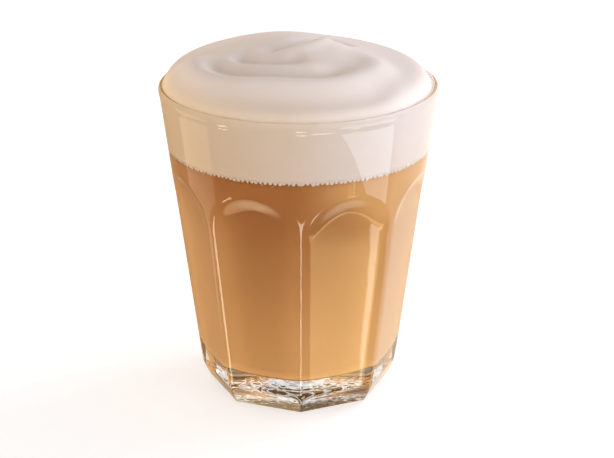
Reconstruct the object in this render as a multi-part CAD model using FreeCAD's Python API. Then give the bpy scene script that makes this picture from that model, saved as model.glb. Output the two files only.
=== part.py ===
import FreeCAD, Part
import math
import os

# A milk coffee with a domed milk foam, in an eight-sided tumbler.
# Millimetres, +Z up, origin at the centre of the foot on the surface it stands on.

# Outside of the glass
glass_height = 101.0
rim_radius = 44.0
rim_wall = 2.2
bead_height = 3.2
bead_bulge = 0.35
wall_foot_radius = 31.8
foot_height = 6.6
foot_ring_radius = 28.8

# Flat sides: a tall panel with an arched top, pressed into the cone
panel_count = 8
ridge_rounding = 0.45
arch_apex_height = 76.2
arch_drop = 8.4
flat_apex_height = 70.3
flat_drop = 12.8
shoulder_run = 3.2
side_margin = 0.6
cutter_reach = 14.0

# Inside of the glass
floor_height = 11.0
floor_corner_radius = 4.0
bore_foot_radius = 27.0
bore_waist_radius = 35.1
bore_waist_height = 70.0
punt_radius = 23.0
punt_depth = 1.8

# The drink
foam_line_height = 81.2
foam_edge_drop = 1.7
foam_rise = 15.3
foam_overhang = 0.8
dome_power = 1.25
shoulder_power = 22.0
shoulder_share = 0.41
foam_lean = 0.042

# The swirl left by pouring and spooning the foam
swirl_radius = 33.0
swirl_pitch = 11.0
swirl_start_angle = 190.0
swirl_centre_x = -1.8
swirl_centre_y = 1.4
swirl_height = 1.5
swirl_rise = 0.16
swirl_core_radius = 11.0
peak_x = 9.0
peak_y = 4.0
peak_radius = 7.0
peak_height = 1.5

foam_grid = 61

panel_angle = 360.0 / panel_count
half_panel = math.radians(panel_angle / 2.0)
lip_radius = rim_wall / 2.0
bead_foot_height = glass_height - bead_height
lip_height = glass_height - lip_radius
wall_top_radius = rim_radius - bead_bulge
bore_rim_radius = rim_radius - rim_wall
foam_edge_height = glass_height - foam_edge_drop


def cone_radius(z):
    """Radius of the outside cone, which the ridges between the panels lie on."""
    share = (z - foot_height) / (bead_foot_height - foot_height)
    return wall_foot_radius + (wall_top_radius - wall_foot_radius) * share


def panel_distance(z):
    """Distance of a panel's flat from the axis at one height."""
    return (cone_radius(z) + ridge_rounding) * math.cos(half_panel)


def place(radius, z):
    return FreeCAD.Vector(radius, 0, z)


def line(start, end):
    return Part.LineSegment(start, end).toShape()


def arc(start, middle, end):
    return Part.Arc(start, middle, end).toShape()


def turned(edges):
    """Solid of revolution about Z from a closed profile in the XZ plane."""
    face = Part.Face(Part.Wire(edges))
    return face.revolve(FreeCAD.Vector(0, 0, 0), FreeCAD.Vector(0, 0, 1), 360)


def bore_curve():
    """The inner wall: a gently flaring arc from the floor's corner to the lip."""
    start = place(bore_foot_radius, floor_height + floor_corner_radius)
    waist = place(bore_waist_radius, bore_waist_height)
    end = place(bore_rim_radius, lip_height)
    return Part.Arc(start, waist, end)


def bore_radius(z):
    """Radius of the inner wall at one height."""
    level = Part.Line(place(0, z), place(1, z))
    points = bore_curve().intersectCC(level)
    return points[0].X


def bore_between(low, high):
    """The inner wall's arc between two heights."""
    middle = (low + high) / 2.0
    return arc(
        place(bore_radius(low), low),
        place(bore_radius(middle), middle),
        place(bore_radius(high), high),
    )


def floor_corner():
    """The rounded corner between the floor and the inner wall."""
    corner_top = place(bore_foot_radius, floor_height + floor_corner_radius)
    floor_edge = place(bore_foot_radius - floor_corner_radius, floor_height)
    lean = floor_corner_radius * math.sqrt(0.5)
    middle = place(
        bore_foot_radius - floor_corner_radius + lean,
        floor_height + floor_corner_radius - lean,
    )
    return arc(floor_edge, middle, corner_top)


def glass_blank():
    """The turned glass, before its panels are pressed in."""
    ring_outer = cone_radius(0)
    underside = arc(
        place(0, punt_depth),
        place(punt_radius / 2.0, punt_depth * 0.75),
        place(punt_radius, 0),
    )
    bead = arc(
        place(wall_top_radius, bead_foot_height),
        place(rim_radius - bead_bulge * 0.25, (bead_foot_height + lip_height) / 2.0),
        place(rim_radius, lip_height),
    )
    lip = arc(
        place(rim_radius, lip_height),
        place(rim_radius - lip_radius, glass_height),
        place(bore_rim_radius, lip_height),
    )
    edges = [
        underside,
        line(place(punt_radius, 0), place(ring_outer, 0)),
        line(place(ring_outer, 0), place(wall_top_radius, bead_foot_height)),
        bead,
        lip,
        bore_between(floor_height + floor_corner_radius, lip_height),
        floor_corner(),
        line(place(bore_foot_radius - floor_corner_radius, floor_height), place(0, floor_height)),
        line(place(0, floor_height), place(0, punt_depth)),
    ]
    return turned(edges)


def arch_outline(apex, drop, run):
    """One panel's outline, on a plane `run` outside the flat, under a parabolic arch."""
    half_width = cone_radius(apex) * math.sin(half_panel) + side_margin
    spring = apex - drop
    bottom = -cutter_reach

    def point(side, z):
        return FreeCAD.Vector(panel_distance(z) + run, side, z)

    crown = Part.BezierCurve()
    crown.setPoles([point(half_width, spring), point(0, apex + drop), point(-half_width, spring)])
    edges = [
        line(point(-half_width, bottom), point(half_width, bottom)),
        line(point(half_width, bottom), point(half_width, spring)),
        crown.toShape(),
        line(point(-half_width, spring), point(-half_width, bottom)),
    ]
    return Part.Wire(edges)


def panel_cutter():
    """What presses one panel: flat inside, with a sloping shoulder under its arch."""
    inner = arch_outline(flat_apex_height, flat_drop, 0)
    outer = arch_outline(arch_apex_height, arch_drop, shoulder_run)
    shoulder = Part.makeLoft([inner, outer], True, True)
    outside = Part.Face(outer).extrude(FreeCAD.Vector(cutter_reach, 0, 0))
    return shoulder.fuse(outside)


def foot_cutter():
    """What bevels the foot below one panel, in to the ring it stands on."""
    ring = foot_ring_radius * math.cos(half_panel)
    wall = panel_distance(foot_height)
    slope = (wall - ring) / foot_height
    below = -cutter_reach
    outline = [
        place(ring + slope * below, below),
        place(wall, foot_height),
        place(wall + cutter_reach, foot_height),
        place(wall + cutter_reach, below),
    ]
    outline.append(outline[0])
    face = Part.Face(Part.makePolygon(outline))
    face.translate(FreeCAD.Vector(0, -2 * cutter_reach, 0))
    return face.extrude(FreeCAD.Vector(0, 4 * cutter_reach, 0))


def make_glass():
    """The pressed glass: panels, bevelled foot, rounded lip and thick base."""
    glass = glass_blank()
    cutters = []
    for panel in range(panel_count):
        angle = panel_angle * (panel + 0.5) - 90.0
        for cutter in (panel_cutter(), foot_cutter()):
            cutter.rotate(FreeCAD.Vector(0, 0, 0), FreeCAD.Vector(0, 0, 1), angle)
            cutters.append(cutter)
    return glass.cut(cutters)


def make_coffee():
    """The coffee, from the glass's floor up to the underside of the foam."""
    edges = [
        line(place(0, floor_height), place(bore_foot_radius - floor_corner_radius, floor_height)),
        floor_corner(),
        bore_between(floor_height + floor_corner_radius, foam_line_height),
        line(place(bore_radius(foam_line_height), foam_line_height), place(0, foam_line_height)),
        line(place(0, foam_line_height), place(0, floor_height)),
    ]
    return turned(edges)


def smooth(value):
    """Zero to one with level ends."""
    value = min(max(value, 0.0), 1.0)
    return value * value * (3.0 - 2.0 * value)


def dome_height(radius):
    """Height of the smooth dome above the foam's edge, which meets the glass steeply."""
    share = radius / bore_radius(foam_edge_height)
    crown = 1.0 - share ** dome_power
    shoulder = 1.0 - share ** shoulder_power
    if share > 1.0:
        shoulder = shoulder_power * (1.0 - share)
    return foam_rise * (crown * (1.0 - shoulder_share) + shoulder * shoulder_share)


def swirl_relief(x, y):
    """A ridge that winds inward, one pitch nearer the middle with each turn."""
    across = x - swirl_centre_x
    along = y - swirl_centre_y
    radius = math.hypot(across, along)
    angle = math.degrees(math.atan2(along, across)) - swirl_start_angle
    turn = (angle % 360.0) / 360.0
    phase = (radius - swirl_radius) / swirl_pitch + turn
    if phase > 0.5:
        return 0.0
    ridge = 0.5 + 0.5 * math.cos(2.0 * math.pi * phase)
    if phase > -0.5:
        ridge *= smooth(turn / swirl_rise)
    outside_core = smooth(radius / swirl_core_radius)
    return swirl_height * ridge * outside_core


def peak_relief(x, y):
    """The soft tip where the swirl ends."""
    distance = math.hypot(x - peak_x, y - peak_y) / peak_radius
    return peak_height * math.exp(-distance * distance)


def foam_height(x, y):
    """Height of the foam's top at one place."""
    radius = math.hypot(x, y)
    reach = bore_radius(foam_edge_height)
    share = min(radius / reach, 1.0)
    lean = -foam_lean * x * (1.0 - share ** 4)
    relief = swirl_relief(x, y) + peak_relief(x, y)
    return foam_edge_height + dome_height(radius) + lean + relief * (1.0 - share ** 8)


def foam_top():
    """The foam's top as one smooth surface over a square a little wider than the bore."""
    reach = bore_radius(foam_edge_height) + foam_overhang
    step = 2.0 * reach / (foam_grid - 1)
    rows = []
    for i in range(foam_grid):
        row = []
        for j in range(foam_grid):
            x = i * step - reach
            y = j * step - reach
            row.append(FreeCAD.Vector(x, y, foam_height(x, y)))
        rows.append(row)
    surface = Part.BSplineSurface()
    surface.interpolate(rows)
    return surface.toShape()


def make_foam():
    """The milk foam, from the coffee up, filling the bore and doming over the rim."""
    ceiling = foam_edge_height + 2.0 * foam_rise
    edges = [
        line(place(0, foam_line_height), place(bore_radius(foam_line_height), foam_line_height)),
        bore_between(foam_line_height, lip_height),
        line(place(bore_rim_radius, lip_height), place(bore_rim_radius, ceiling)),
        line(place(bore_rim_radius, ceiling), place(0, ceiling)),
        line(place(0, ceiling), place(0, foam_line_height)),
    ]
    above_top = foam_top().extrude(FreeCAD.Vector(0, 0, 4.0 * foam_rise))
    return turned(edges).cut(above_top)


def save(name, shape):
    """Writes one node, after making sure that it is a single sound solid."""
    solids = shape.Solids
    if len(solids) != 1 or not solids[0].isValid():
        raise ValueError(name + " is not one sound solid")
    solids[0].exportStep("parts/" + name + ".step")
    print(name, round(solids[0].Volume / 1000.0, 1), "ml")


os.makedirs("parts", exist_ok=True)
save("glass", make_glass())
save("coffee", make_coffee())
save("foam", make_foam())
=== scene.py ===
import math
import bpy
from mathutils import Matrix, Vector, kdtree, noise


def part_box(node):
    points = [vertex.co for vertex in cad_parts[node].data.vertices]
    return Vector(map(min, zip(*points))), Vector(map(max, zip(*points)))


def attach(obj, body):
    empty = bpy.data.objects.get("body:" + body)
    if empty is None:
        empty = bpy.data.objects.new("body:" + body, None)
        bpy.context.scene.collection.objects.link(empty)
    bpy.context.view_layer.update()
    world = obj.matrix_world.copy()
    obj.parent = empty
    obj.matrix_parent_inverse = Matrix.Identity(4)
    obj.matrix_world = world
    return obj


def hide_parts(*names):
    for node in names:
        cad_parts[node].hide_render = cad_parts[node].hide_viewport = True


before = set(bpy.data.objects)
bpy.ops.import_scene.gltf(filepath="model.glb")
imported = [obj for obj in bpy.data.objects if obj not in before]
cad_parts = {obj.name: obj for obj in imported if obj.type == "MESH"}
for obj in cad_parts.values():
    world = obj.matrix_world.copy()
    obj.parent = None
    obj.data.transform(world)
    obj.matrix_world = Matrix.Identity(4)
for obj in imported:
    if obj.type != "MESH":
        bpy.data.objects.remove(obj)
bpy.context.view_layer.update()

mm = 0.001
scene = bpy.context.scene
scene.view_settings.view_transform = "Standard"

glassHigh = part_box("glass")[1]
coffeeLow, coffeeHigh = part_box("coffee")
rimHeight = glassHigh[2]
rimRadius = glassHigh[0]
foamLine = coffeeHigh[2]
floorLevel = coffeeLow[2]
print("frame loaded, glass", round(rimHeight / mm, 1), "mm high")


def newNode(tree, kind, x=0, **settings):
    # settings that start with in_ are sockets, the others are the node's own
    node = tree.nodes.new(kind)
    node.location = (x, 0)
    for name, value in settings.items():
        if name.startswith("in_"):
            node.inputs[name[3:]].default_value = value
        else:
            setattr(node, name, value)
    return node


def mathNode(tree, operation, a, b=None, c=None, clamp=False):
    node = tree.nodes.new("ShaderNodeMath")
    node.operation = operation
    node.use_clamp = clamp
    for slot, value in enumerate((a, b, c)):
        if value is None:
            continue
        if isinstance(value, (int, float)):
            node.inputs[slot].default_value = value
        else:
            tree.links.new(value, node.inputs[slot])
    return node.outputs[0]


def rampBetween(tree, value, low, high, toLow=0.0, toHigh=1.0):
    node = newNode(tree, "ShaderNodeMapRange", interpolation_type="SMOOTHSTEP")
    tree.links.new(value, node.inputs["Value"])
    limits = {"From Min": low, "From Max": high, "To Min": toLow, "To Max": toHigh}
    for name, number in limits.items():
        node.inputs[name].default_value = number
    return node.outputs[0]


def mixColour(tree, factor, a, b):
    node = newNode(tree, "ShaderNodeMix", data_type="RGBA")
    for slot, value in ((0, factor), (6, a), (7, b)):
        if isinstance(value, bpy.types.NodeSocket):
            tree.links.new(value, node.inputs[slot])
        else:
            node.inputs[slot].default_value = value
    return node.outputs[2]


def scaleColour(tree, colour, factor, target):
    node = newNode(tree, "ShaderNodeVectorMath", operation="SCALE")
    tree.links.new(colour, node.inputs[0])
    tree.links.new(factor, node.inputs["Scale"])
    tree.links.new(node.outputs[0], target)


# the middle stretch of a noise texture, which its values seldom leave
noiseSpan = (0.3, 0.7)


def newMaterial(name):
    material = bpy.data.materials.new(name)
    material.use_nodes = True
    tree = material.node_tree
    return material, tree, tree.nodes["Principled BSDF"]


viewFrom = {
    "distance": 0.603,
    "height": 0.282,
    "pitch": 20.90,
    "yaw": 0.25,
    "turn": -1.0,
    "lens": 117.3,
    "sensor": 36.0,
}


def makeCamera():
    turn = math.radians(viewFrom["turn"])
    data = bpy.data.cameras.new("camera")
    data.lens = viewFrom["lens"]
    data.sensor_width = viewFrom["sensor"]
    camera = bpy.data.objects.new("camera", data)
    camera.location = (
        viewFrom["distance"] * math.sin(turn),
        -viewFrom["distance"] * math.cos(turn),
        viewFrom["height"],
    )
    camera.rotation_euler = (
        math.radians(90.0 - viewFrom["pitch"]),
        0.0,
        turn - math.radians(viewFrom["yaw"]),
    )
    bpy.context.collection.objects.link(camera)
    scene.camera = camera


studio = {
    "leftLight": (1.0, 0.85, 0.70, 1.0),
    "rightLight": (1.0, 0.98, 0.99, 1.0),
    "leftSide": (-0.85, 0.50, 0.10),
    "rightSide": (0.97, -0.15, 0.10),
    "leftLevel": 1.92,
    "rightLevel": 2.00,
    "frontLevel": 1.26,
    "aboveLevel": 0.36,
    "mirrorFront": (0.10, 0.07, 0.05, 1.0),
    "mirrorLeft": (0.55, 0.34, 0.18, 1.0),
    "mirrorRight": (1.30, 1.18, 1.02, 1.0),
    "throughLow": (0.17, 0.132, 0.088, 1.0),
    "throughHigh": (1.0, 1.0, 1.0, 1.0),
    "floorColour": (0.82, 0.86, 0.91, 1.0),
    # painted shade: the floor's colour as seen through the glass
    "floorShadeThrough": (0.45, 0.39, 0.31, 1.0),
    "floorLift": 0.52,
    "floorBounce": 1.0,
    "keyPlace": (0.46, 0.26, 0.60),
    "keySize": (0.36, 0.36),
    "keyPower": 1.5,
    "keyColour": (1.0, 0.97, 0.95),
    "keyAim": (0.0, 0.0, 0.08),
    "sideLobe": (0.15, 0.95),
    "sideFade": (0.18, 0.50),
    "tintSpan": (-0.8, 0.6),
    "aboveSpan": (0.12, 0.48),
    "mirrorSides": (-0.35, 0.35),
    "mirrorDepth": (-0.15, 0.15),
    "throughSpan": (0.25, 0.60),
    "unscattered": 0.5,
    "floorHalf": 3.0,
    "floorRoughness": 0.9,
    "white": (1.0, 1.0, 1.0, 1.0),
}
# bright patches that only the glass mirrors: bearing from the front and height in degrees
mirrorPatches = (
    {"name": "window", "glow": (2.2, 2.5, 2.7), "soft": (1.0, 0.08),
     "bearing": (34.0, 89.0), "height": (-32.2, -12.0)},
    {"name": "leftSheet", "glow": (1.0, 0.8, 0.6), "soft": (4.0, 1.0),
     "bearing": (-122.0, -86.0), "height": (-31.0, -14.0)},
    {"name": "middleLine", "glow": (8.0, 7.4, 6.4), "soft": (2.0, 0.5),
     "bearing": (-3.2, 5.8), "height": (-41.5, -36.0)},
    {"name": "leftLine", "glow": (6.6, 5.8, 4.5), "soft": (2.0, 0.4),
     "bearing": (-77.0, -67.0), "height": (-38.5, -32.7)},
    {"name": "rightPanel", "glow": (3.5, 2.6, 1.15), "soft": (3.0, 1.2),
     "bearing": (46.5, 55.5), "height": (-39.6, -33.4)},
    {"name": "rightStripe", "glow": (4.2, 4.2, 3.8), "soft": (0.08, 0.3), "lean": 0.07,
     "bearing": (49.10, 49.74), "height": (-39.0, -32.7)},
    {"name": "rightArch", "glow": (9.5, 8.9, 7.6), "soft": (6.0, 2.0),
     "bearing": (12.0, 34.0), "height": (-54.0, -45.0)},
    {"name": "leftArch", "glow": (2.3, 1.8, 1.1), "soft": (16.0, 9.0),
     "bearing": (-135.0, -18.0), "height": (-89.0, -59.0)},
)


def addPatches(tree, colour, x, y, z):
    bearing = mathNode(tree, "ARCTAN2", x, mathNode(tree, "MULTIPLY", y, -1.0))
    height = mathNode(tree, "ARCSINE", z)

    def inside(value, span, soft):
        low, high = (math.radians(edge) for edge in span)
        half = 0.5 * math.radians(soft)
        rise = rampBetween(tree, value, low - half, low + half)
        fall = rampBetween(tree, value, high - half, high + half, 1.0, 0.0)
        return mathNode(tree, "MULTIPLY", rise, fall)

    for patch in mirrorPatches:
        across = mathNode(tree, "MULTIPLY_ADD", height, patch.get("lean", 0.0), bearing)
        softAcross, softUp = patch["soft"]
        insideAcross = inside(across, patch["bearing"], softAcross)
        share = mathNode(tree, "MULTIPLY", insideAcross, inside(height, patch["height"], softUp))
        glow = newNode(tree, "ShaderNodeVectorMath", operation="SCALE")
        glow.inputs[0].default_value = patch["glow"]
        tree.links.new(share, glow.inputs["Scale"])
        total = newNode(tree, "ShaderNodeVectorMath", operation="ADD")
        tree.links.new(colour, total.inputs[0])
        tree.links.new(glow.outputs[0], total.inputs[1])
        colour = total.outputs[0]
    return colour


def makeWorld():
    world = bpy.data.worlds.new("studio")
    scene.world = world
    world.use_nodes = True
    tree = world.node_tree
    background = tree.nodes["Background"]
    path = newNode(tree, "ShaderNodeLightPath")
    direction = newNode(tree, "ShaderNodeTexCoord")
    split = newNode(tree, "ShaderNodeSeparateXYZ")
    tree.links.new(direction.outputs["Generated"], split.inputs[0])
    x, y, z = split.outputs[0], split.outputs[1], split.outputs[2]

    def towards(side):
        dot = newNode(tree, "ShaderNodeVectorMath", operation="DOT_PRODUCT")
        tree.links.new(direction.outputs["Generated"], dot.inputs[0])
        dot.inputs[1].default_value = studio[side]
        lobe = rampBetween(tree, dot.outputs["Value"], *studio["sideLobe"])
        return mathNode(tree, "MULTIPLY", lobe, rampBetween(tree, z, *studio["sideFade"], 1.0, 0.0))

    across = rampBetween(tree, x, *studio["tintSpan"])
    tint = mixColour(tree, across, studio["leftLight"], studio["rightLight"])
    above = rampBetween(tree, z, *studio["aboveSpan"])
    front = studio["frontLevel"]
    level = mathNode(tree, "MULTIPLY_ADD", above, studio["aboveLevel"] - front, front)
    level = mathNode(tree, "MULTIPLY_ADD", towards("leftSide"), studio["leftLevel"], level)
    level = mathNode(tree, "MULTIPLY_ADD", towards("rightSide"), studio["rightLevel"], level)
    scaled = newNode(tree, "ShaderNodeVectorMath", operation="SCALE")
    tree.links.new(tint, scaled.inputs[0])
    tree.links.new(level, scaled.inputs["Scale"])

    across = rampBetween(tree, x, *studio["mirrorSides"])
    mirrorBack = mixColour(tree, across, studio["mirrorLeft"], studio["mirrorRight"])
    behind = rampBetween(tree, y, *studio["mirrorDepth"])
    mirror = mixColour(tree, behind, studio["mirrorFront"], mirrorBack)
    mirror = addPatches(tree, mirror, x, y, z)
    upward = rampBetween(tree, z, *studio["throughSpan"])
    through = mixColour(tree, upward, studio["throughLow"], studio["throughHigh"])

    direct = mathNode(tree, "LESS_THAN", path.outputs["Diffuse Depth"], studio["unscattered"])
    isGlossy = mathNode(tree, "MULTIPLY", path.outputs["Is Glossy Ray"], direct)
    isThrough = mathNode(tree, "MULTIPLY", path.outputs["Is Transmission Ray"], direct)
    colour = mixColour(tree, isGlossy, scaled.outputs[0], mirror)
    colour = mixColour(tree, isThrough, colour, through)
    colour = mixColour(tree, path.outputs["Is Camera Ray"], colour, studio["white"])
    tree.links.new(colour, background.inputs["Color"])
    background.inputs["Strength"].default_value = 1.0


def flatSheet(name, corners, material):
    mesh = bpy.data.meshes.new(name)
    mesh.from_pydata(corners, [], [tuple(range(len(corners)))])
    mesh.materials.append(material)
    sheet = bpy.data.objects.new(name, mesh)
    bpy.context.collection.objects.link(sheet)
    return sheet


def makeFloor():
    half = studio["floorHalf"]
    material, tree, shader = newMaterial("paleFloor")
    shader.inputs["Roughness"].default_value = studio["floorRoughness"]
    path = newNode(tree, "ShaderNodeLightPath")
    direct = mathNode(tree, "LESS_THAN", path.outputs["Diffuse Depth"], studio["unscattered"])
    # painted shade: seen through the glass the floor turns dark brown and loses its lift
    through = mathNode(tree, "MULTIPLY", path.outputs["Is Transmission Ray"], direct)
    colour = mixColour(tree, through, studio["floorColour"], studio["floorShadeThrough"])
    tree.links.new(colour, shader.inputs["Base Color"])
    shader.inputs["Specular IOR Level"].default_value = 0.0
    isCamera = path.outputs["Is Camera Ray"]
    bounce = studio["floorBounce"]
    lift = mathNode(tree, "MULTIPLY_ADD", isCamera, studio["floorLift"] - bounce, bounce)
    lift = mathNode(tree, "MULTIPLY", mathNode(tree, "SUBTRACT", 1.0, through), lift)
    shader.inputs["Emission Color"].default_value = studio["white"]
    tree.links.new(lift, shader.inputs["Emission Strength"])
    corners = ((-half, -half, 0), (half, -half, 0), (half, half, 0), (-half, half, 0))
    floor = flatSheet("floor", corners, material)
    floor.visible_glossy = False


def makeLamps():
    data = bpy.data.lights.new("key", "AREA")
    data.shape = "RECTANGLE"
    data.size, data.size_y = studio["keySize"]
    data.energy = studio["keyPower"]
    data.color = studio["keyColour"]
    lamp = bpy.data.objects.new("key", data)
    lamp.location = studio["keyPlace"]
    aim = Vector(studio["keyAim"]) - Vector(studio["keyPlace"])
    lamp.rotation_euler = aim.to_track_quat("-Z", "Y").to_euler()
    lamp.visible_camera = False
    lamp.visible_glossy = False
    bpy.context.collection.objects.link(lamp)


glassForm = {
    "panels": 8,
    "footRadius": 31.8 * mm,
    "footHeight": 6.6 * mm,
    "ringRadius": 28.8 * mm,
    "ringEdge": 0.7 * mm,
    "beadHeight": 3.2 * mm,
    "beadBulge": 0.35 * mm,
    "lipRadius": 1.1 * mm,
    "ridgeRounding": 0.45 * mm,
    "ridgeSoftness": 0.7 * mm,
    "stippleDepth": 0.35 * mm,
    "stippleScale": 2.6 * mm,
    "stippleFine": 0.45,
    "stippleFineShare": 0.5,
    "stippleFineLevel": 5.0 * mm,
    "stippleFade": 1.0 * mm,
    "stippleAbove": 0.1 * mm,
    "stippleLowest": 0.05 * mm,
    "bevelSoftness": 0.35 * mm,
    "bevelReach": 2.0 * mm,
    "beadGap": 0.4 * mm,
    "axisShare": 0.02,
    "archApex": 76.2 * mm,
    "archDrop": 8.4 * mm,
    "flatApex": 70.3 * mm,
    "flatDrop": 12.8 * mm,
    "sideMargin": 0.6 * mm,
    "puntRadius": 23.0 * mm,
    "puntDepth": 1.8 * mm,
    "boreFoot": 27.0 * mm,
    "boreWaist": 35.1 * mm,
    "waistHeight": 70.0 * mm,
    "cornerRadius": 4.0 * mm,
    "columns": 40,
    "archZone": (52.0 * mm, 78.0 * mm),
    "weldDistance": 0.004 * mm,
}
glassLook = {
    "tintScale": 38.0,
    "deep": (0.978, 0.986, 0.980, 1.0),
    "pale": (0.992, 0.994, 0.990, 1.0),
    "waveScale": 95.0,
    "waveStrength": 0.05,
    "waveDepth": 0.1 * mm,
    "refraction": 1.5,
}
# how many rows each stretch of a turned shape has
rowCounts = {
    "punt": 38,
    "underside": 7,
    "ring": 5,
    "bevel": 16,
    "lower": 14,
    "arches": 60,
    "upper": 8,
    "bead": 8,
    "lip": 16,
    "bore": 30,
    "corner": 10,
    "floor": 6,
    "coffeeFloor": 5,
    "foamEdge": 12,
}
halfPanel = math.pi / glassForm["panels"]
wallTop = rimHeight - glassForm["beadHeight"]
lipLevel = rimHeight - glassForm["lipRadius"]
boreRim = rimRadius - 2.0 * glassForm["lipRadius"]


def smoothStep(value):
    value = min(max(value, 0.0), 1.0)
    return value * value * (3.0 - 2.0 * value)


def softMin(a, b, softness):
    near = max(softness - abs(a - b), 0.0) / softness
    return min(a, b) - near * near * softness * 0.25


def circleThrough(a, b, c):
    ax, ay = a
    bx, by = b
    cx, cy = c
    d = 2.0 * (ax * (by - cy) + bx * (cy - ay) + cx * (ay - by))
    a2, b2, c2 = ax * ax + ay * ay, bx * bx + by * by, cx * cx + cy * cy
    x = (a2 * (by - cy) + b2 * (cy - ay) + c2 * (ay - by)) / d
    y = (a2 * (cx - bx) + b2 * (ax - cx) + c2 * (bx - ax)) / d
    return x, y, math.hypot(ax - x, ay - y)


boreArc = circleThrough(
    (glassForm["boreFoot"], floorLevel + glassForm["cornerRadius"]),
    (glassForm["boreWaist"], glassForm["waistHeight"]),
    (boreRim, lipLevel),
)


def boreRadius(z):
    x, y, radius = boreArc
    reach = math.sqrt(radius * radius - (z - y) ** 2)
    return x + reach if x < 0 else x - reach


def coneRadius(z):
    g = glassForm
    top = rimRadius - g["beadBulge"]
    rise = wallTop - g["footHeight"]
    return g["footRadius"] + (top - g["footRadius"]) * (z - g["footHeight"]) / rise


def outerRadius(angle, z):
    # angle is counted from the middle of a panel
    g = glassForm
    cone = coneRadius(z)
    flat = (cone + g["ridgeRounding"]) * math.cos(halfPanel)
    ring = g["ringRadius"] * math.cos(halfPanel)
    wall = (coneRadius(g["footHeight"]) + g["ridgeRounding"]) * math.cos(halfPanel)
    bevel = ring + (wall - ring) * z / g["footHeight"]
    flat = softMin(flat, bevel, g["bevelSoftness"])
    pressed = softMin(cone, flat / math.cos(angle), g["ridgeSoftness"])
    side = cone * math.sin(angle) / (cone * math.sin(halfPanel) + g["sideMargin"])
    archEdge = g["archApex"] - g["archDrop"] * side * side
    flatEdge = g["flatApex"] - g["flatDrop"] * side * side
    depth = smoothStep((archEdge - z) / (archEdge - flatEdge))
    radius = cone + (pressed - cone) * depth
    if z < g["ringEdge"]:
        share = 1.0 - z / g["ringEdge"]
        radius -= g["ringEdge"] * (1.0 - math.sqrt(max(1.0 - share * share, 0.0)))
    return radius


def spread(low, high, count):
    return [low + (high - low) * step / count for step in range(count + 1)]


def glassProfile():
    # rows of the wall from the middle of the underside round to the middle of the floor inside
    g = glassForm
    count = rowCounts
    rows = []
    low, high = g["archZone"]
    footTop = g["footHeight"] + g["bevelReach"]

    def turned(radius, z):
        rows.append(lambda angle, radius=radius, z=z: (radius, z))

    def outside(z):
        rows.append(lambda angle, z=z: (outerRadius(angle, z), z))

    for share in spread(g["axisShare"], 1.0, count["punt"]):
        turned(g["puntRadius"] * share, g["puntDepth"] * (1.0 - share * share))
    for share in spread(0.0, 1.0, count["underside"])[1:]:
        rows.append(lambda angle, share=share: (
            g["puntRadius"] + (outerRadius(angle, 0.0) - g["puntRadius"]) * share, 0.0))
    for z in spread(0.0, g["ringEdge"], count["ring"])[1:]:
        outside(z)
    for z in spread(g["ringEdge"], footTop, count["bevel"])[1:]:
        outside(z)
    for z in spread(footTop, low, count["lower"])[1:]:
        outside(z)
    for z in spread(low, high, count["arches"])[1:]:
        outside(z)
    for z in spread(high, wallTop - g["beadGap"], count["upper"])[1:]:
        outside(z)
    outside(wallTop)
    topRadius = rimRadius - g["beadBulge"]
    for share in spread(0.0, 1.0, count["bead"])[1:]:
        z = wallTop + (lipLevel - wallTop) * share
        turned(topRadius + g["beadBulge"] * math.sin(share * math.pi / 2.0), z)
    lipMiddle = rimRadius - g["lipRadius"]
    for angle in spread(0.0, math.pi, count["lip"])[1:]:
        turned(
            lipMiddle + g["lipRadius"] * math.cos(angle),
            lipLevel + g["lipRadius"] * math.sin(angle),
        )
    cornerTop = floorLevel + g["cornerRadius"]
    for z in spread(lipLevel, cornerTop, count["bore"])[1:]:
        turned(boreRadius(z), z)
    for angle in spread(0.0, math.pi / 2.0, count["corner"])[1:]:
        turned(
            g["boreFoot"] - g["cornerRadius"] * (1.0 - math.cos(angle)),
            cornerTop - g["cornerRadius"] * math.sin(angle),
        )
    for share in spread(1.0, g["axisShare"], count["floor"])[1:]:
        turned((g["boreFoot"] - g["cornerRadius"]) * share, floorLevel)
    return rows


def panelWedge():
    # one eighth of the glass, which the node tree below repeats round the axis
    rows = glassProfile()
    columns = glassForm["columns"]
    angles = spread(-halfPanel, halfPanel, columns)
    verts = []
    for row in rows:
        for angle in angles:
            radius, z = row(angle)
            verts.append((radius * math.sin(angle), -radius * math.cos(angle), z))
    width = columns + 1
    faces = []
    for r in range(len(rows) - 1):
        for c in range(columns):
            a = r * width + c
            faces.append((a, a + 1, a + width + 1, a + width))
    underside = len(verts)
    verts.append((0.0, 0.0, glassForm["puntDepth"]))
    inside = len(verts)
    verts.append((0.0, 0.0, floorLevel))
    last = (len(rows) - 1) * width
    for c in range(columns):
        faces.append((underside, c + 1, c))
        faces.append((inside, last + c, last + c + 1))
    mesh = bpy.data.meshes.new("panelWedge")
    mesh.from_pydata(verts, [], faces)
    wedge = bpy.data.objects.new("glassBody", mesh)
    bpy.context.collection.objects.link(wedge)
    return wedge


def geometryTree(name, inputs):
    tree = bpy.data.node_groups.new(name, "GeometryNodeTree")
    tree.interface.new_socket("Geometry", in_out="INPUT", socket_type="NodeSocketGeometry")
    identifiers = {}
    for label, kind, value in inputs:
        socket = tree.interface.new_socket(label, in_out="INPUT", socket_type=kind)
        socket.default_value = value
        identifiers[label] = socket.identifier
    tree.interface.new_socket("Geometry", in_out="OUTPUT", socket_type="NodeSocketGeometry")
    start = newNode(tree, "NodeGroupInput", -900)
    end = newNode(tree, "NodeGroupOutput", 900)
    return tree, start, end, identifiers


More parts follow.
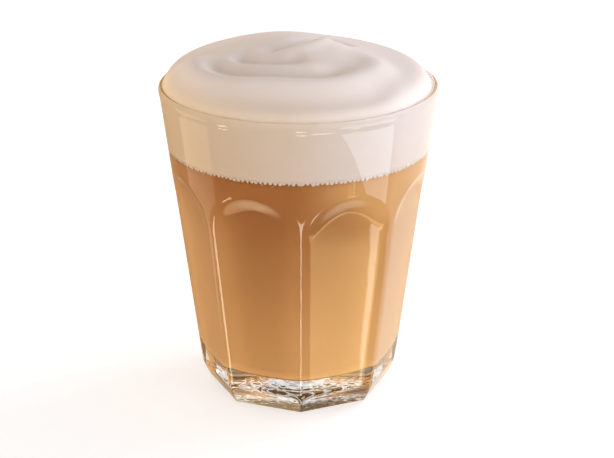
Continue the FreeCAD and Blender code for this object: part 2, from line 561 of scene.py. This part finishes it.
def finishWith(piece, tree, identifiers, values):
    # runs the tree, keeps its result as a plain mesh, and drops the modifier
    modifier = piece.modifiers.new(tree.name, "NODES")
    modifier.node_group = tree
    for label, value in values.items():
        modifier[identifiers[label]] = value
    graph = bpy.context.evaluated_depsgraph_get()
    made = bpy.data.meshes.new_from_object(piece.evaluated_get(graph))
    piece.modifiers.remove(modifier)
    old = piece.data
    piece.data = made
    made.name = piece.name
    bpy.data.meshes.remove(old)
    return piece


def repeatTree(material):
    tree, start, end, identifiers = geometryTree("repeatRound", (
        ("Copies", "NodeSocketInt", 8),
        ("First Turn", "NodeSocketFloat", 0.0),
    ))
    points = newNode(tree, "GeometryNodePoints")
    index = newNode(tree, "GeometryNodeInputIndex")
    step = mathNode(tree, "DIVIDE", 2.0 * math.pi, start.outputs["Copies"])
    turn = mathNode(tree, "MULTIPLY", index.outputs[0], step)
    turn = mathNode(tree, "ADD", turn, start.outputs["First Turn"])
    rotation = newNode(tree, "ShaderNodeCombineXYZ")
    tree.links.new(turn, rotation.inputs["Z"])
    place = newNode(tree, "GeometryNodeInstanceOnPoints")
    tree.links.new(start.outputs["Copies"], points.inputs["Count"])
    tree.links.new(points.outputs[0], place.inputs["Points"])
    tree.links.new(start.outputs["Geometry"], place.inputs["Instance"])
    tree.links.new(rotation.outputs[0], place.inputs["Rotation"])
    realize = newNode(tree, "GeometryNodeRealizeInstances")
    merge = newNode(tree, "GeometryNodeMergeByDistance")
    merge.inputs["Distance"].default_value = glassForm["weldDistance"]
    smooth = newNode(tree, "GeometryNodeSetShadeSmooth")
    setMaterial = newNode(tree, "GeometryNodeSetMaterial")
    setMaterial.inputs["Material"].default_value = material
    chain = (place, realize, merge, smooth, setMaterial)
    for a, b in zip(chain, chain[1:]):
        tree.links.new(a.outputs[0], b.inputs[0])
    tree.links.new(setMaterial.outputs[0], end.inputs[0])
    return tree, identifiers


def stippleUnderside(glass):
    # pressed glass is uneven underneath, which makes the base glint
    g = glassForm
    fade = g["stippleFade"]
    for vertex in glass.data.vertices:
        x, y, z = vertex.co
        radius = math.hypot(x, y)
        inside = 1.0 - smoothStep((radius - g["puntRadius"] + fade) / (2.0 * fade))
        if z > g["puntDepth"] + g["stippleAbove"] or inside <= 0.0:
            continue
        wave = noise.noise(Vector((x, y, 0.0)) / g["stippleScale"])
        fine = Vector((x, y, g["stippleFineLevel"])) / (g["stippleFine"] * g["stippleScale"])
        wave += g["stippleFineShare"] * noise.noise(fine)
        vertex.co.z = max(z + g["stippleDepth"] * wave * inside, g["stippleLowest"])


def makeGlassMaterial():
    look = glassLook
    material, tree, shader = newMaterial("clearGlass")
    position = newNode(tree, "ShaderNodeTexCoord")
    drift = newNode(tree, "ShaderNodeTexNoise", in_Scale=look["tintScale"], in_Detail=2.0)
    tree.links.new(position.outputs["Object"], drift.inputs["Vector"])
    clear = rampBetween(tree, drift.outputs["Fac"], *noiseSpan)
    tree.links.new(mixColour(tree, clear, look["deep"], look["pale"]), shader.inputs["Base Color"])
    waves = newNode(tree, "ShaderNodeTexNoise", in_Scale=look["waveScale"], in_Detail=1.0)
    tree.links.new(position.outputs["Object"], waves.inputs["Vector"])
    bump = newNode(
        tree, "ShaderNodeBump", in_Strength=look["waveStrength"], in_Distance=look["waveDepth"])
    tree.links.new(waves.outputs["Fac"], bump.inputs["Height"])
    tree.links.new(bump.outputs[0], shader.inputs["Normal"])
    shader.inputs["Transmission Weight"].default_value = 1.0
    shader.inputs["IOR"].default_value = look["refraction"]
    shader.inputs["Roughness"].default_value = 0.0
    return material


def makeGlass():
    material = makeGlassMaterial()
    wedge = panelWedge()
    tree, identifiers = repeatTree(material)
    glass = finishWith(wedge, tree, identifiers, {
        "Copies": glassForm["panels"],
        "First Turn": halfPanel,
    })
    stippleUnderside(glass)
    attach(glass, "root")
    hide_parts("glass")
    print("glass made,", len(glass.data.polygons), "faces")


def turnedMesh(name, rows, columns, material):
    # closed solid of revolution from rows of (radius, z); the ends close on the axis
    verts = []
    for radius, z in rows:
        for c in range(columns):
            angle = 2.0 * math.pi * c / columns
            verts.append((radius * math.cos(angle), radius * math.sin(angle), z))
    faces = []
    for r in range(len(rows) - 1):
        here, above = r * columns, (r + 1) * columns
        for c in range(columns):
            d = (c + 1) % columns
            faces.append((here + c, here + d, above + d, above + c))
    low = len(verts)
    verts.append((0.0, 0.0, rows[0][1]))
    high = len(verts)
    verts.append((0.0, 0.0, rows[-1][1]))
    last = (len(rows) - 1) * columns
    for c in range(columns):
        d = (c + 1) % columns
        faces.append((low, d, c))
        faces.append((high, last + c, last + d))
    mesh = bpy.data.meshes.new(name)
    mesh.from_pydata(verts, [], faces)
    mesh.polygons.foreach_set("use_smooth", [True] * len(mesh.polygons))
    mesh.materials.append(material)
    piece = bpy.data.objects.new(name, mesh)
    bpy.context.collection.objects.link(piece)
    return piece


coffeeLook = {
    "intoWall": 0.2 * mm,
    "axisShare": 0.1,
    "columns": 160,
    "top": (0.44, 0.170, 0.051, 1.0),
    "bottom": (0.76, 0.40, 0.148, 1.0),
    "sideLitColour": (0.83, 0.48, 0.19, 1.0),
    "darkAt": -7.0 * mm,
    "sideLitSpan": (4.0 * mm, 34.0 * mm),
    "sideLitMost": 0.80,
    "rightRise": (60.0 * mm, 78.0 * mm, 0.75, 1.35),
    "leftRise": (52.0 * mm, 80.0 * mm, -1.0, -0.45),
    "bottomShadeSpan": (0.1 * mm, 1.0 * mm),
    "bottomShadeTone": 0.26,
    "driftScale": 28.0,
    "driftTone": (0.96, 1.04),
    "roughness": 0.6,
}


def makeCoffeeMaterial():
    # painted light and shade: palest at the bottom and towards the sides, where floor and lamps
    # light it, darkest a little left of the middle
    look = coffeeLook
    material, tree, shader = newMaterial("milkCoffee")
    position = newNode(tree, "ShaderNodeTexCoord")
    split = newNode(tree, "ShaderNodeSeparateXYZ")
    tree.links.new(position.outputs["Object"], split.inputs[0])
    x, z = split.outputs[0], split.outputs[2]
    # painted light: paler towards the bottom, where light from the floor reaches the coffee
    upward = rampBetween(tree, z, floorLevel, foamLine)
    colour = mixColour(tree, upward, look["bottom"], look["top"])
    drift = newNode(tree, "ShaderNodeTexNoise", in_Scale=look["driftScale"], in_Detail=2.0)
    tree.links.new(position.outputs["Object"], drift.inputs["Vector"])
    # painted light: the upper coffee turns paler towards both sides, where the lamps light it
    offset = mathNode(tree, "SUBTRACT", x, look["darkAt"])
    right = mathNode(tree, "MULTIPLY", offset, rampBetween(tree, z, *look["rightRise"]))
    left = mathNode(tree, "MULTIPLY", offset, rampBetween(tree, z, *look["leftRise"]))
    aside = mathNode(tree, "MAXIMUM", right, left)
    sideLit = rampBetween(tree, aside, *look["sideLitSpan"], 0.0, look["sideLitMost"])
    colour = mixColour(tree, sideLit, colour, look["sideLitColour"])
    # painted shade: the coffee goes dark within the last mm above its floor, along the shaded
    # corner
    bottomShadeLow, bottomShadeHigh = (floorLevel + height for height in look["bottomShadeSpan"])
    bottomShade = rampBetween(tree, z, bottomShadeLow, bottomShadeHigh, look["bottomShadeTone"], 1.0)
    tone = rampBetween(tree, drift.outputs["Fac"], *noiseSpan, *look["driftTone"])
    tone = mathNode(tree, "MULTIPLY", tone, bottomShade)
    scaleColour(tree, colour, tone, shader.inputs["Base Color"])
    shader.inputs["Roughness"].default_value = look["roughness"]
    shader.inputs["Specular IOR Level"].default_value = 0.0
    return material


def makeCoffee():
    extra = coffeeLook["intoWall"]
    corner = glassForm["cornerRadius"]
    cornerTop = floorLevel + corner
    flat = glassForm["boreFoot"] - corner
    shares = spread(coffeeLook["axisShare"], 1.0, rowCounts["coffeeFloor"])
    rows = [(flat * share, floorLevel - extra) for share in shares]
    for angle in spread(math.pi / 2.0, 0.0, rowCounts["corner"])[1:]:
        rows.append((
            glassForm["boreFoot"] - corner * (1.0 - math.cos(angle)) + extra * math.cos(angle),
            cornerTop - (corner + extra) * math.sin(angle),
        ))
    for z in spread(cornerTop, foamLine, rowCounts["bore"])[1:]:
        rows.append((boreRadius(z) + extra, z))
    coffee = turnedMesh("coffeeBody", rows, coffeeLook["columns"], makeCoffeeMaterial())
    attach(coffee, "root")
    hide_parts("coffee")
    print("coffee made")


foamForm = {
    "edgeDrop": 1.7 * mm,
    "rise": 15.3 * mm,
    "domePower": 1.25,
    "shoulderPower": 22.0,
    "shoulderShare": 0.41,
    "lean": 0.042,
    "intoWall": 0.2 * mm,
    "lipCover": 1.1 * mm,
    "spillFrom": 33.0 * mm,
    "lipLift": 1.6 * mm,
    "columns": 380,
    "rings": 120,
    "ringCrowding": 1.5,
    "leanPower": 4,
    "liftPower": 30,
    "reliefPower": 8,
    "leastCover": 0.35,
    "strokeReach": 3.0,
}
foamLook = {
    "white": (0.93, 0.855, 0.845, 1.0),
    "shadeCream": (0.80, 0.61, 0.40, 1.0),
    "shadeLeft": (-40.0 * mm, 40.0 * mm, 1.0, 0.0),
    "shadeLow": (99.0 * mm, 112.0 * mm, 1.0, 0.12),
    "driftScale": 45.0,
    "driftShare": (-0.06, 0.06),
    "domeShadeRamp": (97.0 * mm, 106.0 * mm, 1.0, 0.92),
    "bubbleScale": 1500.0,
    "bubbleStrength": 0.12,
    "bubbleDepth": 0.2 * mm,
    "roughness": 0.75,
    "specular": 0.2,
}
foamEdge = rimHeight - foamForm["edgeDrop"]
# the swirl as soft strokes over the dome, points in mm: a crest or a hollow along each
foamStrokes = (
    {"height": 2.7, "width": 5.0, "fade": (6, 22), "points": (
        (-34, 1), (-34, -6), (-31, -16), (-24, -24.5), (-13, -28.5), (3, -29.5), (15, -25),
        (22.5, -17), (24, -8), (20, -2), (15, 1))},
    {"height": -2.6, "width": 5.0, "fade": (8, 14), "points": (
        (-41, -8), (-37, -20), (-28, -31), (-13, -37.5), (4, -38.5), (20, -33), (31, -22))},
    {"height": -1.9, "width": 3.9, "fade": (6, 14), "points": (
        (-27, -7), (-24, -15), (-17, -20.5), (-8, -23), (4, -24), (12, -20), (17, -13))},
    {"height": 1.1, "width": 3.2, "fade": (5, 10), "points": (
        (-24, -5), (-19, -14), (-9, -18), (4, -18.5), (11, -14))},
    {"height": -2.2, "width": 3.7, "fade": (5, 6), "points": (
        (-21, -4), (-16, -10), (-10, -12.5), (-3, -13), (3, -11))},
    {"height": 1.0, "width": 2.3, "fade": (7, 1), "points": (
        (-9, -10), (-4, -9), (0, -7), (4, -4.5), (7, -1), (9, 2))},
    {"height": -1.8, "width": 3.0, "fade": (7, 7), "points": (
        (-14, -6), (-7, -4), (-2, -1), (3, 4.5), (10, 8), (19, 5))},
)
foamMounds = (
    {"place": (10.5, 1.0), "radius": 6.5, "height": 1.3},
    {"place": (-6.0, 15.0), "radius": 17.0, "height": 1.3},
)


def strokeSamples(points, perSpan=8):
    # an even run of points along a smooth curve through the stroke's own points
    ends = [Vector(point) for point in points]
    ends = [ends[0] * 2.0 - ends[1]] + ends + [ends[-1] * 2.0 - ends[-2]]
    samples = []
    for a, b, c, d in zip(ends, ends[1:], ends[2:], ends[3:]):
        for step in range(perSpan):
            t = step / perSpan
            bend = 2.0 * a - 5.0 * b + 4.0 * c - d
            twist = 3.0 * b - a - 3.0 * c + d
            samples.append(0.5 * ((2.0 * b) + (c - a) * t + bend * t * t + twist * t * t * t))
    samples.append(ends[-2])
    return samples


def prepareStrokes():
    prepared = []
    for stroke in foamStrokes:
        samples = strokeSamples(stroke["points"])
        tree = kdtree.KDTree(len(samples))
        along = [0.0]
        for index, sample in enumerate(samples):
            tree.insert((sample.x, sample.y, 0.0), index)
            if index:
                along.append(along[-1] + (sample - samples[index - 1]).length)
        tree.balance()
        prepared.append((stroke, tree, samples, along))
    return prepared


strokes = prepareStrokes()


def nearestOnStroke(place, tree, samples, along):
    index = tree.find((place.x, place.y, 0.0))[1]
    best = None
    for first in (index - 1, index):
        if first < 0 or first + 1 >= len(samples):
            continue
        a, b = samples[first], samples[first + 1]
        step = b - a
        share = min(max((place - a).dot(step) / step.length_squared, 0.0), 1.0)
        distance = (place - a - step * share).length
        if best is None or distance < best[0]:
            best = (distance, along[first] + step.length * share)
    return best


def swirlRelief(x, y):
    place = Vector((x / mm, y / mm))
    total = 0.0
    for stroke, tree, samples, along in strokes:
        distance, reached = nearestOnStroke(place, tree, samples, along)
        if distance > foamForm["strokeReach"] * stroke["width"]:
            continue
        start, end = stroke["fade"]
        strength = smoothStep(reached / start) * smoothStep((along[-1] - reached) / end)
        total += stroke["height"] * strength * math.exp(-(distance / stroke["width"]) ** 2)
    for mound in foamMounds:
        distance = (place - Vector(mound["place"])).length
        total += mound["height"] * math.exp(-(distance / mound["radius"]) ** 2)
    return total * mm


def lipCover(angle):
    # how far the foam has crept over the lip, most at the left
    least = foamForm["leastCover"]
    return least + (1.0 - least) * (0.5 - 0.5 * math.cos(angle)) ** 2


def coverRadius(angle):
    return boreRadius(foamEdge) + foamForm["lipCover"] * lipCover(angle)


def foamHeight(x, y):
    f = foamForm
    angle = math.atan2(y, x)
    cover = lipCover(angle)
    reach = boreRadius(foamEdge)
    radius = math.hypot(x, y)
    spill = f["lipCover"] * cover
    radius -= spill * smoothStep((radius - f["spillFrom"]) / (reach + spill - f["spillFrom"]))
    inner = min(radius / reach, 1.0)
    crown = 1.0 - inner ** f["domePower"]
    shoulder = 1.0 - inner ** f["shoulderPower"]
    dome = f["rise"] * (crown * (1.0 - f["shoulderShare"]) + shoulder * f["shoulderShare"])
    lean = -f["lean"] * x * (1.0 - inner ** f["leanPower"])
    lift = f["lipLift"] * cover * inner ** f["liftPower"]
    relief = swirlRelief(x, y) * (1.0 - inner ** f["reliefPower"])
    return foamEdge + dome + lean + lift + relief


def makeFoamMaterial():
    # painted shade: a cream shade colour low down and at the left, where the foam lies in shade;
    # nearly white on the dome
    look = foamLook
    material, tree, shader = newMaterial("milkFoam")
    position = newNode(tree, "ShaderNodeTexCoord")
    place = position.outputs["Object"]
    split = newNode(tree, "ShaderNodeSeparateXYZ")
    tree.links.new(place, split.inputs[0])
    x, z = split.outputs[0], split.outputs[2]
    drift = newNode(tree, "ShaderNodeTexNoise", in_Scale=look["driftScale"], in_Detail=3.0)
    tree.links.new(place, drift.inputs["Vector"])
    # painted shade: more of the shade colour towards the left and low down
    side = rampBetween(tree, x, *look["shadeLeft"])
    low = rampBetween(tree, z, *look["shadeLow"])
    patchy = rampBetween(tree, drift.outputs["Fac"], *noiseSpan, *look["driftShare"])
    shadeShare = mathNode(tree, "ADD", mathNode(tree, "MULTIPLY", side, low), patchy, clamp=True)
    colour = mixColour(tree, shadeShare, look["white"], look["shadeCream"])
    # painted shade: the foam darkens by up to 8% going up onto the dome
    scaleColour(tree, colour, rampBetween(tree, z, *look["domeShadeRamp"]), shader.inputs["Base Color"])
    bubbles = newNode(tree, "ShaderNodeTexVoronoi", in_Scale=look["bubbleScale"])
    tree.links.new(place, bubbles.inputs["Vector"])
    bump = newNode(
        tree, "ShaderNodeBump", in_Strength=look["bubbleStrength"], in_Distance=look["bubbleDepth"])
    tree.links.new(bubbles.outputs["Distance"], bump.inputs["Height"])
    tree.links.new(bump.outputs[0], shader.inputs["Normal"])
    shader.inputs["Roughness"].default_value = look["roughness"]
    shader.inputs["Specular IOR Level"].default_value = look["specular"]
    return material


def makeFoam(material):
    f = foamForm
    extra = f["intoWall"]
    columns = f["columns"]
    turns = [2.0 * math.pi * c / columns for c in range(columns)]
    verts = [(0.0, 0.0, foamHeight(0.0, 0.0))]
    faces = []
    rows = []

    def addRow(radiusAt, heightAt):
        row = []
        for angle in turns:
            radius = radiusAt(angle)
            x, y = radius * math.cos(angle), radius * math.sin(angle)
            row.append(len(verts))
            verts.append((x, y, heightAt(x, y)))
        rows.append(row)

    for step in range(1, f["rings"] + 1):
        share = 1.0 - (1.0 - step / f["rings"]) ** f["ringCrowding"]
        addRow(lambda angle: share * coverRadius(angle), foamHeight)
    for z in spread(foamEdge, foamLine, rowCounts["foamEdge"]):
        addRow(lambda angle: boreRadius(z) + extra, lambda x, y: z)
    for c in range(columns):
        faces.append((0, rows[0][c], rows[0][(c + 1) % columns]))
    for upper, lower in zip(rows, rows[1:]):
        for c in range(columns):
            d = (c + 1) % columns
            faces.append((upper[c], lower[c], lower[d], upper[d]))
    bottom = len(verts)
    verts.append((0.0, 0.0, foamLine))
    for c in range(columns):
        faces.append((bottom, rows[-1][(c + 1) % columns], rows[-1][c]))
    mesh = bpy.data.meshes.new("foamBody")
    mesh.from_pydata(verts, [], faces)
    mesh.polygons.foreach_set("use_smooth", [True] * len(mesh.polygons))
    mesh.materials.append(material)
    foam = bpy.data.objects.new("foamBody", mesh)
    bpy.context.collection.objects.link(foam)
    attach(foam, "root")
    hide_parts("foam")
    print("foam made,", len(mesh.polygons), "faces")


# scallops along the coffee line, specks below them, and froth on the lip
bubbleRings = (
    {"count": 170, "radius": boreRadius(foamLine) + 0.1 * mm, "height": foamLine,
     "jitter": 0.08 * mm, "size": (0.36 * mm, 0.60 * mm, 0.72 * mm), "spread": 0.16, "seed": 3},
    {"count": 60, "radius": boreRadius(foamLine) + 0.15 * mm, "height": foamLine - 0.85 * mm,
     "jitter": 0.30 * mm, "size": (0.14 * mm, 0.17 * mm, 0.17 * mm), "spread": 0.35, "seed": 8},
    {"count": 210, "radius": boreRim + 0.55 * mm, "height": rimHeight - 0.12 * mm,
     "jitter": 0.18 * mm, "size": (0.20 * mm, 0.24 * mm, 0.16 * mm), "spread": 0.5, "seed": 5},
)
bubbleForm = {"segments": 10, "rings": 6, "stray": 0.12}


def bubbleTree(material):
    tree, start, end, identifiers = geometryTree("bubbleRing", (
        ("Count", "NodeSocketInt", 100),
        ("Radius", "NodeSocketFloat", 0.04),
        ("Height", "NodeSocketFloat", 0.08),
        ("Jitter", "NodeSocketFloat", 0.0002),
        ("Size", "NodeSocketVector", (0.001, 0.001, 0.001)),
        ("Spread", "NodeSocketFloat", 0.2),
        ("Seed", "NodeSocketInt", 1),
    ))

    def randomValue(low, high, offset):
        node = newNode(tree, "FunctionNodeRandomValue", data_type="FLOAT")
        node.inputs[2].default_value = low
        node.inputs[3].default_value = high
        seed = mathNode(tree, "ADD", start.outputs["Seed"], float(offset))
        tree.links.new(seed, node.inputs["Seed"])
        return node.outputs[1]

    points = newNode(tree, "GeometryNodePoints")
    tree.links.new(start.outputs["Count"], points.inputs["Count"])
    index = newNode(tree, "GeometryNodeInputIndex")
    stray = bubbleForm["stray"]
    slotIndex = mathNode(tree, "ADD", index.outputs[0], randomValue(-stray, stray, 0))
    share = mathNode(tree, "DIVIDE", slotIndex, start.outputs["Count"])
    turn = mathNode(tree, "MULTIPLY", share, 2.0 * math.pi)
    sideways = mathNode(tree, "MULTIPLY", mathNode(tree, "COSINE", turn), start.outputs["Radius"])
    along = mathNode(tree, "MULTIPLY", mathNode(tree, "SINE", turn), start.outputs["Radius"])
    wobble = randomValue(-1.0, 1.0, 1)
    level = mathNode(tree, "MULTIPLY_ADD", wobble, start.outputs["Jitter"], start.outputs["Height"])
    place = newNode(tree, "ShaderNodeCombineXYZ")
    for slot, value in enumerate((sideways, along, level)):
        tree.links.new(value, place.inputs[slot])
    moved = newNode(tree, "GeometryNodeSetPosition")
    tree.links.new(points.outputs[0], moved.inputs["Geometry"])
    tree.links.new(place.outputs[0], moved.inputs["Position"])
    ball = newNode(tree, "GeometryNodeMeshUVSphere")
    ball.inputs["Segments"].default_value = bubbleForm["segments"]
    ball.inputs["Rings"].default_value = bubbleForm["rings"]
    rotation = newNode(tree, "ShaderNodeCombineXYZ")
    tree.links.new(turn, rotation.inputs["Z"])
    factor = mathNode(tree, "MULTIPLY_ADD", randomValue(-1.0, 1.0, 2), start.outputs["Spread"], 1.0)
    size = newNode(tree, "ShaderNodeVectorMath", operation="SCALE")
    tree.links.new(start.outputs["Size"], size.inputs[0])
    tree.links.new(factor, size.inputs["Scale"])
    instances = newNode(tree, "GeometryNodeInstanceOnPoints")
    tree.links.new(moved.outputs[0], instances.inputs["Points"])
    tree.links.new(ball.outputs["Mesh"], instances.inputs["Instance"])
    tree.links.new(rotation.outputs[0], instances.inputs["Rotation"])
    tree.links.new(size.outputs[0], instances.inputs["Scale"])
    realize = newNode(tree, "GeometryNodeRealizeInstances")
    smooth = newNode(tree, "GeometryNodeSetShadeSmooth")
    setMaterial = newNode(tree, "GeometryNodeSetMaterial")
    setMaterial.inputs["Material"].default_value = material
    chain = (instances, realize, smooth, setMaterial)
    for first, second in zip(chain, chain[1:]):
        tree.links.new(first.outputs[0], second.inputs[0])
    tree.links.new(setMaterial.outputs[0], end.inputs[0])
    return tree, identifiers


def makeBubbles(material):
    tree, identifiers = bubbleTree(material)
    for number, ring in enumerate(bubbleRings, 1):
        name = "foamBubbles%d" % number
        piece = bpy.data.objects.new(name, bpy.data.meshes.new(name))
        bpy.context.collection.objects.link(piece)
        values = {label.title(): value for label, value in ring.items()}
        finishWith(piece, tree, identifiers, values)
        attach(piece, "root")
        print("bubbles made,", len(piece.data.polygons), "faces")


makeCamera()
makeWorld()
makeFloor()
makeLamps()
makeGlass()
makeCoffee()
foamMaterial = makeFoamMaterial()
makeFoam(foamMaterial)
makeBubbles(foamMaterial)
